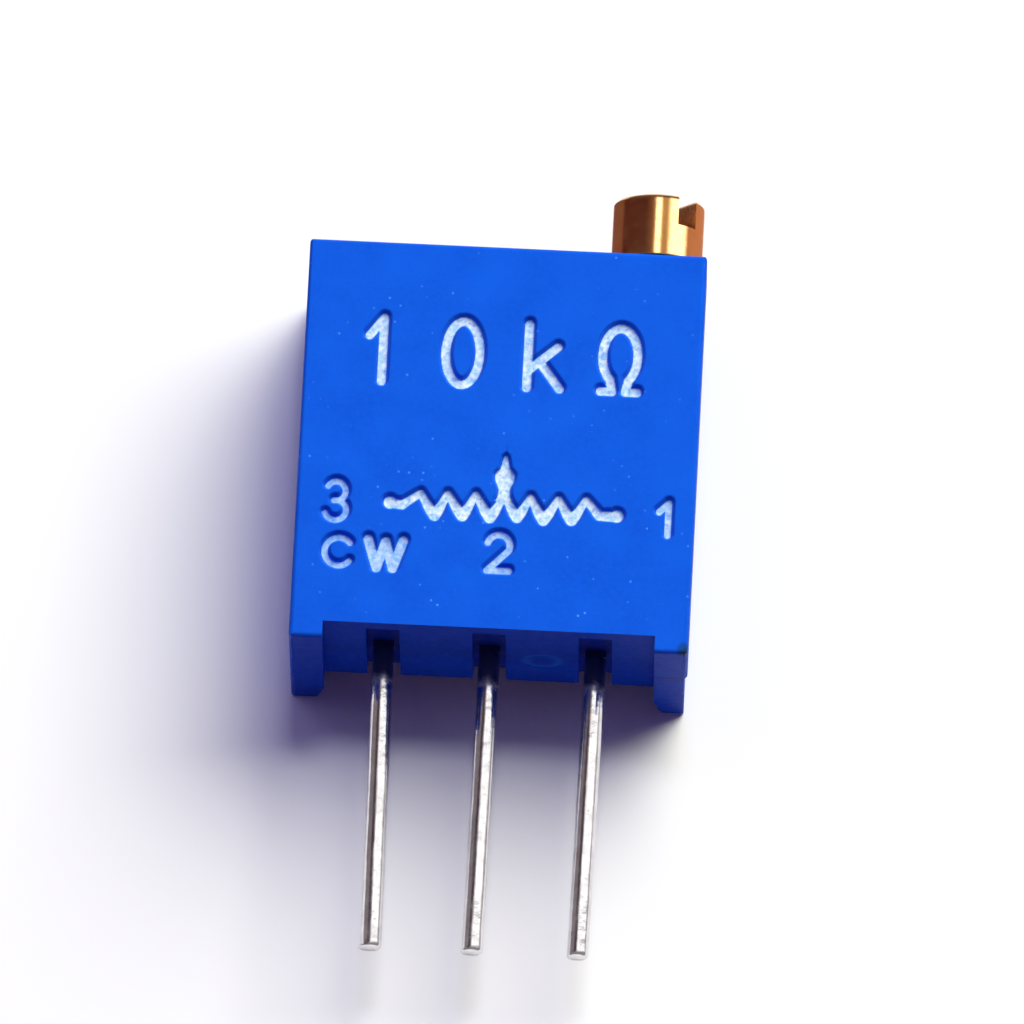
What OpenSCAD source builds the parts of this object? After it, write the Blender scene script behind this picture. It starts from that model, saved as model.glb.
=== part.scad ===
// Multi-turn trimmer potentiometer with top adjustment and three pins in line, in millimetres.
// A slotted screw carries a worm that turns a toothed wheel, and the wheel's wiper rides a ring of
// resistive ink on a ceramic plate. The middle pin's axis crosses the seating plane at the origin:
// X runs along the row of pins, Y along the screw towards its head, Z out of the front face.

/* [Housing] */
// Width across the side walls
body_width = 9.53; // [9:0.01:11]
// Height of the top face above the seating plane
body_height = 10.03; // [9.2:0.01:12]
// Depth from the front face to the back rim
body_depth = 4.83; // [4.5:0.01:6]
// Thickness of the side walls, the top wall and the feet
wall = 0.8; // [0.6:0.05:1]
// Thickness of the bottom wall
bottom_wall = 0.8; // [0.6:0.05:1]
// Height of the two feet that stand the bottom wall off the board
foot_height = 0.41; // [0.2:0.01:0.7]
// Radius on the outer edges
edge_round = 0.12; // [0.05:0.01:0.2]
// Distance from the front face to the parting line on the right side
parting_depth = 2; // [1.5:0.05:3]
// How far the right side stands in behind the parting line
parting_step = 0.08; // [0.02:0.01:0.1]
// How far the inner sides flare out at the back rim
rim_flare = 0.2; // [0.05:0.05:0.3]
// Diameter of the ring left by the ejector pin
ejector_diameter = 1; // [0.5:0.05:1.2]
// Width of that ring
ejector_width = 0.14; // [0.05:0.01:0.2]
// Depth of that ring
ejector_depth = 0.01; // [0.01:0.005:0.05]

/* [Pins] */
// Diameter of a pin
pin_diameter = 0.51; // [0.4:0.01:0.6]
// Distance between neighbouring pins
pin_pitch = 2.54; // [2.2:0.01:2.8]
// Length of a pin below the seating plane
pin_length = 6.96; // [3:0.01:12]
// Chamfer at the tip of a pin
pin_chamfer = 0.06; // [0.02:0.01:0.12]
// How far the round part of a pin reaches into its slot
pin_entry = 0.12; // [0.05:0.01:0.14]
// Width of the squared inner end of a pin
tail_width = 0.5; // [0.3:0.01:0.55]
// Thickness of the squared inner end of a pin
tail_thickness = 0.4; // [0.25:0.01:0.5]
// How far the squared end lies on its pad
tail_reach = 0.9; // [0.5:0.05:1.2]
// Width of the slots that the pins come out of
slot_width = 0.8; // [0.7:0.05:1]
// Width of the strip between the front face and the slots
slot_lip = 0.47; // [0.3:0.01:0.7]

/* [Adjusting screw] */
// Distance from the screw's axis to the right side
screw_from_side = 1.225; // [1.2:0.005:1.5]
// Distance from the screw's axis to the front face
screw_from_front = 1.27; // [1.2:0.01:1.5]
// Diameter of the head
head_diameter = 2.21; // [1.9:0.01:2.4]
// Height of the head
head_height = 1.53; // [1:0.01:2.5]
// Radius on the rim of the head
head_round = 0.07; // [0.02:0.01:0.15]
// Width of the driver slot
driver_slot_width = 0.54; // [0.4:0.01:0.7]
// Depth of the driver slot
driver_slot_depth = 0.72; // [0.3:0.01:0.9]
// Angle of the driver slot from the front towards the right side
driver_slot_angle = 40; // [0:1:180]
// Diameter of the shank
shank_diameter = 1.6; // [1.5:0.01:1.66]
// Diameter of the lower journal and of the worm's core
core_diameter = 0.84; // [0.7:0.01:0.88]
// Length of the lower bearing
journal_length = 1; // [0.6:0.05:1.2]
// Length of free bore between the worm and the lower bearing
worm_runout = 0.2; // [0.1:0.05:0.4]
// Length of the neck between the worm and the shank
neck_length = 0.19; // [0.1:0.01:0.3]
// Distance from the top face to the middle of the seal
seal_depth = 0.95; // [0.6:0.05:1.1]
// Diameter of the groove that the seal lies in
seal_groove_diameter = 0.9; // [0.8:0.02:1.1]
// Diameter of the dowel that keeps the screw in
dowel_diameter = 0.4; // [0.3:0.02:0.44]
// Distance from the worm's end to the middle of the dowel
dowel_from_worm = 0.75; // [0.7:0.05:0.9]
// Diameter of the groove that the dowel runs in
dowel_groove_diameter = 1.1; // [0.9:0.02:1.2]

/* [Worm and wheel] */
// Number of teeth on the wheel
tooth_count = 36; // [30:1:42]
// Pitch diameter of the worm
worm_pitch_diameter = 1.24; // [1.2:0.01:1.28]
// Length of the worm
worm_length = 3.2; // [2.6:0.1:3.4]
// Height of a tooth or thread above the pitch line
addendum = 0.15; // [0.1:0.01:0.16]
// Depth of a tooth or thread below the pitch line
dedendum = 0.2; // [0.19:0.01:0.24]
// Slope of the flanks
flank_angle = 20; // [14:1:24]
// Free play between teeth and thread
backlash = 0.12; // [0.08:0.01:0.15]
// Width of the toothed rim
rim_width = 0.9; // [0.7:0.05:1]
// How far the hub behind the rim stands in from the roots of the teeth
hub_inset = 0.375; // [0.2:0.005:0.5]
// Diameter of the post that the wheel turns on
post_diameter = 1.2; // [0.8:0.05:1.4]
// Turn of the wheel from the middle of its travel to either stop
half_travel = 125; // [90:5:130]
// Radius from the wheel's axis to the stop peg
stop_radius = 1.5; // [1.35:0.05:1.7]
// Diameter of the stop peg
stop_diameter = 0.44; // [0.3:0.02:0.5]
// Length of the stop peg
stop_length = 0.45; // [0.3:0.05:0.6]
// How deep the post and the stop peg are rooted in the front wall
root_depth = 0.2; // [0.1:0.05:0.25]

/* [Resistive element] */
// Thickness of the ceramic plate
plate_thickness = 0.6; // [0.4:0.05:0.65]
// Thickness of the printed layers
print_thickness = 0.03; // [0.02:0.005:0.04]
// Distance from the edge of the hub to the middle of the resistive track
track_inset = 0.2; // [0.1:0.05:0.35]
// Width of the resistive track
track_width = 0.6; // [0.4:0.05:0.7]
// Mean radius of the collector ring as a share of the track's
collector_share = 0.381; // [0.36:0.001:0.42]
// Width of the collector ring
collector_width = 0.6; // [0.4:0.05:0.65]
// Half the angle of the gap in the track
gap_half_angle = 45; // [42:1:50]
// Angle over which an end conductor follows the track
overlap_angle = 15; // [8:1:20]
// Width of the printed conductors
conductor_width = 0.7; // [0.5:0.02:0.72]
// Distance from the bottom of the tray to the printed pads
pad_inset = 0.1; // [0.05:0.05:0.2]
// Height of the space that the wiper springs in
wiper_space = 0.4; // [0.35:0.01:0.45]
// Thickness of the wiper's sheet
wiper_sheet = 0.07; // [0.05:0.01:0.1]
// Width of a wiper arm
wiper_arm_width = 0.36; // [0.2:0.02:0.4]
// Width of the wiper's base
wiper_base_width = 0.6; // [0.45:0.05:0.7]
// Diameter of the stakes that hold the wiper
stake_diameter = 0.24; // [0.16:0.02:0.3]
// Height of the solder beside a pin
solder_height = 0.22; // [0.1:0.01:0.24]
// Distance from the bottom of the tray to the solder
solder_inset = 0.15; // [0.1:0.05:0.3]
// How far the solder reaches past the end of a pin
solder_reach = 0.1; // [0.05:0.05:0.2]
// Depth of the sealing compound behind the plate
compound_depth = 0.68; // [0.4:0.02:0.8]
// How far the sealing compound rises in front of the pins
compound_rise = 1.5; // [0.1:0.05:1.5]

/* [Clearances] */
// Gap between the screw and its bores
bore_gap = 0.04; // [0.02:0.01:0.06]
// Gap between the head and the top face
head_gap = 0.05; // [0.02:0.01:0.1]
// Gap between the wheel and what it turns on and against
wheel_gap = 0.02; // [0.01:0.005:0.04]
// Gap between the wheel's teeth and the wall round them
tooth_gap = 0.08; // [0.05:0.01:0.12]
// Gap round the ceramic plate
plate_gap = 0.05; // [0.02:0.01:0.1]
// Gap in front of the squared ends of the pins
tail_gap = 0.1; // [0.05:0.05:0.2]
// Gap round the seal, the dowel and the wiper's stakes
seat_gap = 0.008; // [0.005:0.001:0.012]
// Gap between the wiper's tips and the printed layers
wiper_gap = 0.01; // [0.005:0.001:0.02]
// Depth of the sealing compound below the face of the bottom wall
seal_inset = 0.3; // [0.2:0.05:0.4]

/* [Hidden] */
$fn = 64;
over = 1;
thread_steps = 20;
thread_sink = 0.04;

half_width = body_width / 2;
front_z = body_depth / 2;
back_z = -body_depth / 2;
parting_z = front_z - parting_depth;
pin_r = pin_diameter / 2;
pin_xs = [pin_pitch, 0, -pin_pitch];

// The tray behind the wheel's chamber holds the ceramic plate, and the wheel is centred on it
tray_half = half_width - wall;
tray_bottom = foot_height + bottom_wall;
tray_top = body_height - wall;
ledge_z = -pin_r;
plate_front = ledge_z - print_thickness;
plate_back = plate_front - plate_thickness;
compound_back = plate_back - compound_depth;
slot_front = front_z - slot_lip;
compound_front = pin_r + compound_rise;
channel_front = ledge_z + tail_thickness + tail_gap;
wheel_y = (tray_bottom + tray_top) / 2;

// The worm's pitch follows from the wheel that meets it
screw_x = half_width - screw_from_side;
screw_z = front_z - screw_from_front;
worm_pitch_r = worm_pitch_diameter / 2;
wheel_pitch_r = screw_x - worm_pitch_r;
wheel_tip_r = wheel_pitch_r + addendum;
wheel_root_r = wheel_pitch_r - dedendum;
chamber_r = wheel_tip_r + tooth_gap;
thread_pitch = 2 * PI * wheel_pitch_r / tooth_count;
lead_angle = atan(thread_pitch / (2 * PI * worm_pitch_r));
half_tooth = (thread_pitch - backlash) / 4;
rim_front = screw_z + rim_width / 2;
rim_back = screw_z - rim_width / 2;
chamber_front = rim_front + wheel_gap;
hub_back = ledge_z + wiper_space;
post_r = post_diameter / 2;

// The rings that the wiper rides on, and where it is staked to the hub
hub_r = wheel_root_r - hub_inset;
track_radius = hub_r - track_inset;
collector_radius = collector_share * track_radius;
wiper_base_x = -wiper_base_width;
stake_height = 2 * wiper_sheet;
stake_shares = [0.35, 0.7];
stakes = [for (share = stake_shares)
    [wiper_base_x, collector_radius + share * (track_radius - collector_radius)]];

// The prints, measured from the wheel's axis
pad_bottom = tray_bottom + pad_inset - wheel_y;
lead_top = -(track_radius + track_width / 2) * cos(gap_half_angle) - plate_gap;

// Stations along the screw
core_r = core_diameter / 2;
shank_r = shank_diameter / 2;
bore_r = shank_r + bore_gap;
worm_top = wheel_y + worm_length / 2;
worm_bottom = wheel_y - worm_length / 2;
bearing_top = worm_bottom - worm_runout;
bearing_bottom = bearing_top - journal_length;
screw_bottom = bearing_bottom + bore_gap;
shank_bottom = worm_top + neck_length;
head_bottom = body_height + head_gap;
head_top = head_bottom + head_height;
seal_y = body_height - seal_depth;
seal_tube_r = (bore_r - seal_groove_diameter / 2) / 2 - seat_gap;
seal_groove_half = seal_tube_r + bore_gap;
dowel_r = dowel_diameter / 2;
dowel_y = worm_top + dowel_from_worm;
dowel_groove_half = dowel_r + bore_gap;
dowel_x = screw_x - dowel_groove_diameter / 2 - wheel_gap - dowel_r;
dowel_front = screw_z + dowel_groove_diameter / 2;

// Puts its children on an axis parallel to Y, so that their own Z is the height above the board
module upright(x, z) {
    translate([x, 0, z]) rotate([-90, 0, 0]) children();
}

module rounded_rect(low, high, r) {
    size = high - low;
    translate([low[0] + r, low[1]]) square([size[0] - 2 * r, size[1]]);
    translate([low[0], low[1] + r]) square([size[0], size[1] - 2 * r]);
    for (x = [low[0] + r, high[0] - r], y = [low[1] + r, high[1] - r]) translate([x, y]) circle(r);
}

module box(low, high) {
    translate(low) cube(high - low);
}

// A block with every outer edge rounded, and feet left by a notch along its bottom
module outer_block() {
    low = [-half_width, 0, back_z];
    high = [half_width, body_height, front_z];
    intersection() {
        translate([0, 0, back_z]) linear_extrude(body_depth) difference() {
            rounded_rect([low[0], low[1]], [high[0], high[1]], edge_round);
            translate([-tray_half, -over]) square([2 * tray_half, over + foot_height]);
        }
        translate([0, body_height, 0]) rotate([90, 0, 0]) linear_extrude(body_height)
            rounded_rect([low[0], low[2]], [high[0], high[2]], edge_round);
        translate([-half_width, 0, 0]) rotate([90, 0, 90]) linear_extrude(body_width)
            rounded_rect([low[1], low[2]], [high[1], high[2]], edge_round);
    }
}

// What is taken off the right side behind the parting line
module parting_cut() {
    box([half_width - parting_step, -over, back_z - over],
        [half_width + over, body_height + over, parting_z]);
}

// What is taken off the inner sides behind the sealing compound, so that they flare out to the rim
module flare_cuts() {
    for (side = [0, 1]) mirror([side, 0, 0])
        translate([0, tray_top, 0]) rotate([90, 0, 0]) linear_extrude(tray_top + over)
            polygon([[0, compound_back], [tray_half, compound_back], [tray_half + rim_flare, back_z],
                [tray_half + rim_flare, back_z - over], [0, back_z - over]]);
}

module screw_bores() {
    upright(screw_x, screw_z) {
        translate([0, 0, bearing_top]) cylinder(r = bore_r, h = body_height - bearing_top + over);
        translate([0, 0, bearing_bottom]) cylinder(r = core_r + bore_gap, h = journal_length + bore_gap);
    }
    translate([dowel_x, dowel_y, ledge_z - over])
        cylinder(r = dowel_r + seat_gap, h = dowel_front - ledge_z + over + seat_gap);
}

module pin_passages() {
    for (x = pin_xs) {
        box([x - slot_width / 2, foot_height - over, compound_back - over],
            [x + slot_width / 2, tray_bottom, slot_front]);
        box([x - slot_width / 2, foot_height, ledge_z - plate_gap],
            [x + slot_width / 2, wheel_y, channel_front]);
    }
}

module ejector_ring() {
    upright(pin_pitch / 2, 0) translate([0, 0, foot_height - over]) difference() {
        cylinder(d = ejector_diameter, h = over + ejector_depth);
        cylinder(d = ejector_diameter - 2 * ejector_width, h = over + ejector_depth);
    }
}

module housing() {
    color("royalblue") {
        difference() {
            outer_block();
            parting_cut();
            flare_cuts();
            box([-tray_half, -over, back_z - over], [tray_half, tray_top, compound_back]);
            box([-tray_half, tray_bottom, back_z - over], [tray_half, tray_top, ledge_z]);
            translate([0, wheel_y, ledge_z - over])
                cylinder(r = chamber_r, h = chamber_front - ledge_z + over);
            screw_bores();
            pin_passages();
            ejector_ring();
        }
        translate([0, wheel_y, hub_back + wheel_gap])
            cylinder(r = post_r, h = chamber_front + root_depth - hub_back - wheel_gap);
        translate([0, wheel_y - stop_radius, chamber_front - stop_length])
            cylinder(d = stop_diameter, h = stop_length + root_depth);
    }
}

// One thread of the worm, as a trapezoid carried along a helix, sinking into the core at both ends
module worm_thread() {
    slope = tan(flank_angle);
    low = core_r - thread_sink;
    end_r = core_r - thread_sink / 4;
    rise = worm_pitch_r + addendum - end_r;
    turns = worm_length / thread_pitch - 1;
    count = round(turns * thread_steps);
    fade = thread_steps / 2;
    function crest(i) = end_r + rise * min(1, i / fade, (count - i) / fade);
    function half_at(r) = half_tooth + (worm_pitch_r - r) * slope;
    function profile(i) = let(top = crest(i))
        [[low, -half_at(low)], [top, -half_at(top)], [top, half_at(top)], [low, half_at(low)]];
    function turn(i) = 360 * (i - count / 2) / thread_steps;
    points = [for (i = [0:count]) for (p = profile(i))
        [p[0] * cos(turn(i)), p[0] * sin(turn(i)), p[1] + thread_pitch * turn(i) / 360]];
    sides = [for (i = [0:count - 1]) for (k = [0:3]) let(a = 4 * i + k, b = 4 * i + (k + 1) % 4)
        each [[a, b, b + 4], [a, b + 4, a + 4]]];
    last = 4 * count;
    polyhedron(points, concat(sides, [[3, 2, 1, 0], [last, last + 1, last + 2, last + 3]]));
}

module adjusting_screw() {
    color("goldenrod") upright(screw_x, screw_z) {
        difference() {
            rotate_extrude() {
                translate([0, screw_bottom]) square([core_r, shank_bottom + wheel_gap - screw_bottom]);
                translate([0, shank_bottom]) square([shank_r, head_bottom + head_round - shank_bottom]);
                difference() {
                    rounded_rect([-head_diameter / 2, head_bottom], [head_diameter / 2, head_top],
                        head_round);
                    translate([-head_diameter, 0]) square([head_diameter, head_top + over]);
                }
            }
            groove(seal_y, seal_groove_half, seal_groove_diameter);
            groove(dowel_y, dowel_groove_half, dowel_groove_diameter);
            rotate([0, 0, driver_slot_angle - 90])
                box([-head_diameter, -driver_slot_width / 2, head_top - driver_slot_depth],
                    [head_diameter, driver_slot_width / 2, head_top + over]);
        }
        translate([0, 0, wheel_y]) worm_thread();
    }
}

module groove(y, half, diameter) {
    translate([0, 0, y - half]) difference() {
        cylinder(r = shank_r + over, h = 2 * half);
        cylinder(d = diameter, h = 2 * half);
    }
}

module shaft_seal() {
    color("dimgray") upright(screw_x, screw_z) translate([0, 0, seal_y]) rotate_extrude()
        translate([(bore_r + seal_groove_diameter / 2) / 2, 0]) circle(seal_tube_r);
}

module screw_retainer() {
    color("silver") translate([dowel_x, dowel_y, ledge_z])
        cylinder(r = dowel_r, h = dowel_front - ledge_z);
}

// One tooth, which leans by the worm's lead angle and is trimmed to the rim
module tooth() {
    low_r = wheel_root_r - addendum;
    low_half = half_tooth + (wheel_pitch_r - low_r) * tan(flank_angle);
    tip_half = half_tooth + (wheel_pitch_r - wheel_tip_r) * tan(flank_angle);
    intersection() {
        rotate([-lead_angle, 0, 0]) linear_extrude(2 * rim_width, center = true)
            polygon([[low_r, -low_half], [wheel_tip_r, -tip_half], [wheel_tip_r, tip_half],
                [low_r, low_half]]);
        box([0, -over, -rim_width / 2], [wheel_tip_r + over, over, rim_width / 2]);
    }
}

// The groove that the stop peg runs in, open over the wheel's whole travel
module stop_groove() {
    half = stop_diameter / 2 + wheel_gap;
    land = 180 - half_travel - asin(half / stop_radius);
    reach = body_width;
    difference() {
        cylinder(r = stop_radius + half, h = over);
        cylinder(r = stop_radius - half, h = over);
        linear_extrude(over) polygon([[0, 0], reach * [sin(land), cos(land)], [0, reach],
            reach * [-sin(land), cos(land)]]);
    }
}

module worm_wheel() {
    color("ivory") translate([0, wheel_y, 0]) {
        difference() {
            union() {
                translate([0, 0, screw_z]) for (i = [0:tooth_count - 1])
                    rotate([0, 0, 360 * i / tooth_count]) tooth();
                translate([0, 0, rim_back]) cylinder(r = wheel_root_r, h = rim_width);
                translate([0, 0, hub_back]) cylinder(r = hub_r, h = rim_front - hub_back);
            }
            translate([0, 0, hub_back - over])
                cylinder(r = post_r + wheel_gap, h = rim_front - hub_back + 2 * over);
            translate([0, 0, chamber_front - stop_length - 2 * wheel_gap]) stop_groove();
        }
        for (p = stakes) translate([p[0], p[1], hub_back - stake_height])
            cylinder(d = stake_diameter, h = stake_height + wiper_sheet);
    }
}

// A spring arm seen along the radius: flat on the hub, sloping down to its tip, then turned up
module wiper_arm(radius) {
    start = wiper_base_x;
    tip = wiper_base_width / 2;
    low = ledge_z + wiper_gap;
    top = hub_back - wiper_sheet;
    translate([0, radius + wiper_arm_width / 2, 0]) rotate([90, 0, 0]) linear_extrude(wiper_arm_width)
        polygon([[start, top], [start + wiper_base_width / 2, top], [tip, low],
            [tip + 2 * wiper_sheet, low + wiper_sheet], [tip + 2 * wiper_sheet, low + 2 * wiper_sheet],
            [tip, low + wiper_sheet], [start + wiper_base_width / 2, hub_back], [start, hub_back]]);
}

module wiper() {
    color("gold") translate([0, wheel_y, 0]) difference() {
        union() {
            translate([wiper_base_x, 0, 0])
                box([-wiper_base_width / 2, collector_radius - wiper_arm_width / 2, hub_back - wiper_sheet],
                    [wiper_base_width / 2, track_radius + wiper_arm_width / 2, hub_back]);
            wiper_arm(collector_radius);
            wiper_arm(track_radius);
        }
        for (p = stakes) translate([p[0], p[1], hub_back - over])
            cylinder(r = stake_diameter / 2 + seat_gap, h = 2 * over);
    }
}

module ceramic_plate() {
    color("white") box([-tray_half + plate_gap, tray_bottom + plate_gap, plate_back],
        [tray_half - plate_gap, tray_top - plate_gap, plate_front]);
}

// A wedge from the wheel's axis that opens by an angle to each side of the direction of the pins
module wedge(half_angle) {
    reach = body_width;
    polygon([[0, 0], reach * [-sin(half_angle), -cos(half_angle)], [0, -reach * 2],
        reach * [sin(half_angle), -cos(half_angle)]]);
}

module ring(radius, width) {
    difference() {
        circle(radius + width / 2);
        circle(radius - width / 2);
    }
}

module printed() {
    translate([0, wheel_y, plate_front]) linear_extrude(print_thickness) children();
}

module resistive_track() {
    color("black") printed() difference() {
        ring(track_radius, track_width);
        wedge(gap_half_angle);
    }
}

module collector() {
    color("lightgray") printed() {
        ring(collector_radius, collector_width);
        translate([-conductor_width / 2, pad_bottom])
            square([conductor_width, -pad_bottom - collector_radius]);
    }
}

// The lead from an outer pad to the end of the track, with side 1 for the right and -1 for the left
module end_conductor(side) {
    near = (track_radius - track_width / 2) * sin(gap_half_angle - overlap_angle);
    color("lightgray") printed() mirror([side < 0 ? 1 : 0, 0]) {
        translate([pin_pitch - conductor_width / 2, pad_bottom])
            square([conductor_width, lead_top - pad_bottom]);
        translate([near, lead_top - conductor_width / 2])
            square([pin_pitch - near, conductor_width / 2]);
        intersection() {
            ring(track_radius, track_width);
            difference() {
                wedge(gap_half_angle);
                wedge(gap_half_angle - overlap_angle);
                translate([-2 * body_width, -body_width]) square([2 * body_width, 2 * body_width]);
            }
        }
    }
}

module pin(x) {
    tail_bottom = foot_height + pin_entry;
    color("lightsteelblue") {
        upright(x, 0) {
            translate([0, 0, -pin_length])
                cylinder(r1 = pin_r - pin_chamfer, r2 = pin_r, h = pin_chamfer);
            translate([0, 0, pin_chamfer - pin_length])
                cylinder(r = pin_r, h = pin_length - pin_chamfer + tail_bottom);
        }
        pin_tail(x, tail_bottom);
    }
}

module pin_tail(x, bottom) {
    box([x - tail_width / 2, bottom, ledge_z],
        [x + tail_width / 2, tray_bottom + tail_reach, ledge_z + tail_thickness]);
}

// A bead that slopes from the pad to the sides of the pin and closes over its end
module solder(x) {
    top_half = tail_width / 2 + print_thickness;
    low_half = conductor_width / 2;
    end = tray_bottom + tail_reach + solder_reach;
    color("gainsboro") difference() {
        translate([x, end, ledge_z]) rotate([90, 0, 0])
            linear_extrude(end - tray_bottom - solder_inset)
            polygon([[-low_half, 0], [low_half, 0], [top_half, solder_height],
                [-top_half, solder_height]]);
        pin_tail(x, foot_height);
    }
}

module sealing_compound() {
    color("darkslategray") difference() {
        union() {
            box([-tray_half, tray_bottom, compound_back], [tray_half, tray_top, plate_back]);
            for (x = pin_xs) box([x - slot_width / 2, foot_height + seal_inset, compound_back],
                [x + slot_width / 2, tray_bottom, compound_front]);
        }
        for (x = pin_xs) pin_tail(x, foot_height);
    }
}

housing();
adjusting_screw();
shaft_seal();
screw_retainer();
worm_wheel();
wiper();
ceramic_plate();
resistive_track();
collector();
end_conductor(1);  // end_conductor_1
end_conductor(-1);  // end_conductor_3
pin(pin_xs[0]);  // pin_1
pin(pin_xs[1]);  // pin_2
pin(pin_xs[2]);  // pin_3
solder(pin_xs[0]);  // solder_1
solder(pin_xs[1]);  // solder_2
solder(pin_xs[2]);  // solder_3
sealing_compound();
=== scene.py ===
import math

import bpy
import numpy as np
from mathutils import Matrix, Vector


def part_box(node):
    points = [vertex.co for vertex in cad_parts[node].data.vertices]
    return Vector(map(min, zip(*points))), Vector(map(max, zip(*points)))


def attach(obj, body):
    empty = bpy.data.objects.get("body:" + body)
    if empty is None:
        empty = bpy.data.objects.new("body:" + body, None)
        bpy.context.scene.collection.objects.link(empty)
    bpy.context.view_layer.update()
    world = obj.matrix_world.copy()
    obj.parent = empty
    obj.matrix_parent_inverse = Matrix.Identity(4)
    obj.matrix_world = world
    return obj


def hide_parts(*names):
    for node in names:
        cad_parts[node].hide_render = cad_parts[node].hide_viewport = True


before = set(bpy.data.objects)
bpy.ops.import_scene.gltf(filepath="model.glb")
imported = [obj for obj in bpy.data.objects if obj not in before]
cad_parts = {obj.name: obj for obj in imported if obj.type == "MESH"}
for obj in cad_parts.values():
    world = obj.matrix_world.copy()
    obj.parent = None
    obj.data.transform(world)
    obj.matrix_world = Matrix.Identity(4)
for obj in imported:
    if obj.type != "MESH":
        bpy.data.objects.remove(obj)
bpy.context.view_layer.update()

MM = 0.001


def box_mm(node):
    """The low and high corners of a CAD node in millimetres."""
    low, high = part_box(node)
    return low / MM, high / MM


# Sizes in mm: first what the frame gives, then those of the part's source that the scene needs

HOUSING_LOW, HOUSING_HIGH = box_mm("housing")
SCREW_LOW, SCREW_HIGH = box_mm("adjusting_screw")
FRONT, BACK = HOUSING_HIGH.z, HOUSING_LOW.z
SCREW_AXIS = (SCREW_LOW.x + SCREW_HIGH.x) / 2, (SCREW_LOW.z + SCREW_HIGH.z) / 2
WALL = 0.80
BOTTOM_WALL = 0.80
FOOT_HEIGHT = 0.41
CAVITY_BOTTOM = FOOT_HEIGHT + BOTTOM_WALL
EDGE_ROUND = 0.12
RIM_FLARE = 0.20
PARTING_Z = 0.415
PIN_PITCH = 2.54
PIN_SLOT_WIDTH = 0.80
EJECTOR = (PIN_PITCH / 2, FOOT_HEIGHT, 0.0)
SAME = 1e-4


# Meshes

def cad_triangles(node):
    """The corners of a CAD node's triangles in millimetres, as an array of triangle by corner by
    axis."""
    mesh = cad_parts[node].data
    points = np.empty(len(mesh.vertices) * 3, np.float32)
    mesh.vertices.foreach_get("co", points)
    mesh.calc_loop_triangles()
    corners = np.empty(len(mesh.loop_triangles) * 3, np.int32)
    mesh.loop_triangles.foreach_get("vertices", corners)
    return points.reshape(-1, 3)[corners].reshape(-1, 3, 3).astype(float) / MM


def loose(triangles):
    """Triangles as a patch: their points, and faces that number them in turn."""
    return triangles.reshape(-1, 3), [np.arange(len(triangles) * 3).reshape(-1, 3)]


def grid_faces(rows, columns, closed=False):
    """Quads between neighbours in a grid of points, facing columns cross rows. Closed joins the last
    column to the first."""
    row = np.arange(rows - 1)[:, None] * columns
    here = np.arange(columns if closed else columns - 1)
    there = (here + 1) % columns
    return np.stack([row + here, row + there, row + columns + there, row + columns + here], -1).reshape(-1, 4)


def one_face(*numbers):
    """A block of one face, from runs of point numbers."""
    return np.concatenate(numbers)[None, :]


def piece(name, patches, body, replaced, material, sharp=28, values=None, soft=None):
    """One welded mesh from patches of points in millimetres, with its edges over the sharp angle left
    sharp. Edges between two soft points stay smooth."""
    weld = 2e4
    offsets = np.cumsum([0] + [len(points) for points, _ in patches])
    points = np.concatenate([points for points, _ in patches])
    places = np.round(points * weld).astype(np.int64)
    _, first, number = np.unique(places, axis=0, return_index=True, return_inverse=True)
    number = number.reshape(-1)
    faces = [number[block + start] for start, (_, blocks) in zip(offsets, patches) for block in blocks]
    loops = np.concatenate([block.ravel() for block in faces]).astype(np.int32)
    sizes = np.concatenate([np.full(len(block), block.shape[1]) for block in faces])
    mesh = bpy.data.meshes.new(name)
    mesh.vertices.add(len(first))
    mesh.vertices.foreach_set("co", (points[first] * MM).astype(np.float32).ravel())
    mesh.loops.add(len(loops))
    mesh.loops.foreach_set("vertex_index", loops)
    mesh.polygons.add(len(sizes))
    mesh.polygons.foreach_set("loop_start", (np.cumsum(sizes) - sizes).astype(np.int32))
    mesh.update(calc_edges=True)
    mesh.validate()
    mesh.polygons.foreach_set("use_smooth", np.ones(len(mesh.polygons), bool))
    mesh.set_sharp_from_angle(angle=math.radians(sharp))
    if soft is not None:
        ends = np.empty(len(mesh.edges) * 2, np.int32)
        mesh.edges.foreach_get("vertices", ends)
        flags = np.empty(len(mesh.edges), bool)
        mesh.edges.foreach_get("use_edge_sharp", flags)
        mesh.edges.foreach_set("use_edge_sharp", flags & ~soft[first][ends.reshape(-1, 2)].all(1))
    for key, value in (values or {}).items():
        attribute = mesh.attributes.new(key, "FLOAT", "POINT")
        attribute.data.foreach_set("value", value[first].astype(np.float32))
    mesh.materials.append(material)
    made = bpy.data.objects.new(name, mesh)
    bpy.context.scene.collection.objects.link(made)
    weighted = made.modifiers.new("weighted_normals", "WEIGHTED_NORMAL")
    weighted.mode = "FACE_AREA"
    weighted.keep_sharp = True
    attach(made, body)
    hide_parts(*replaced)
    return made


def smooth(value, low, high):
    """0 below low, 1 above high, and an S curve between."""
    share = np.clip((value - low) / (high - low), 0, 1)
    return share * share * (3 - 2 * share)


def ripple(u, v, seed, waves=7):
    """A smooth field of about -1 to 1: the mean of sine waves with random directions and phases."""
    rng = np.random.default_rng(seed)
    turns = rng.uniform(-1, 1, (waves, 2)) * np.pi * 2
    phase = rng.uniform(0, 2 * np.pi, waves)
    return sum(np.sin(a * u + b * v + p) for (a, b), p in zip(turns, phase)) / waves * 1.6


# Materials

def socket(tree, name, kind, value=None, out=False):
    """A named input or output of a node group."""
    made = tree.interface.new_socket(name, in_out="OUTPUT" if out else "INPUT", socket_type=kind)
    if value is not None:
        made.default_value = value


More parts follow.
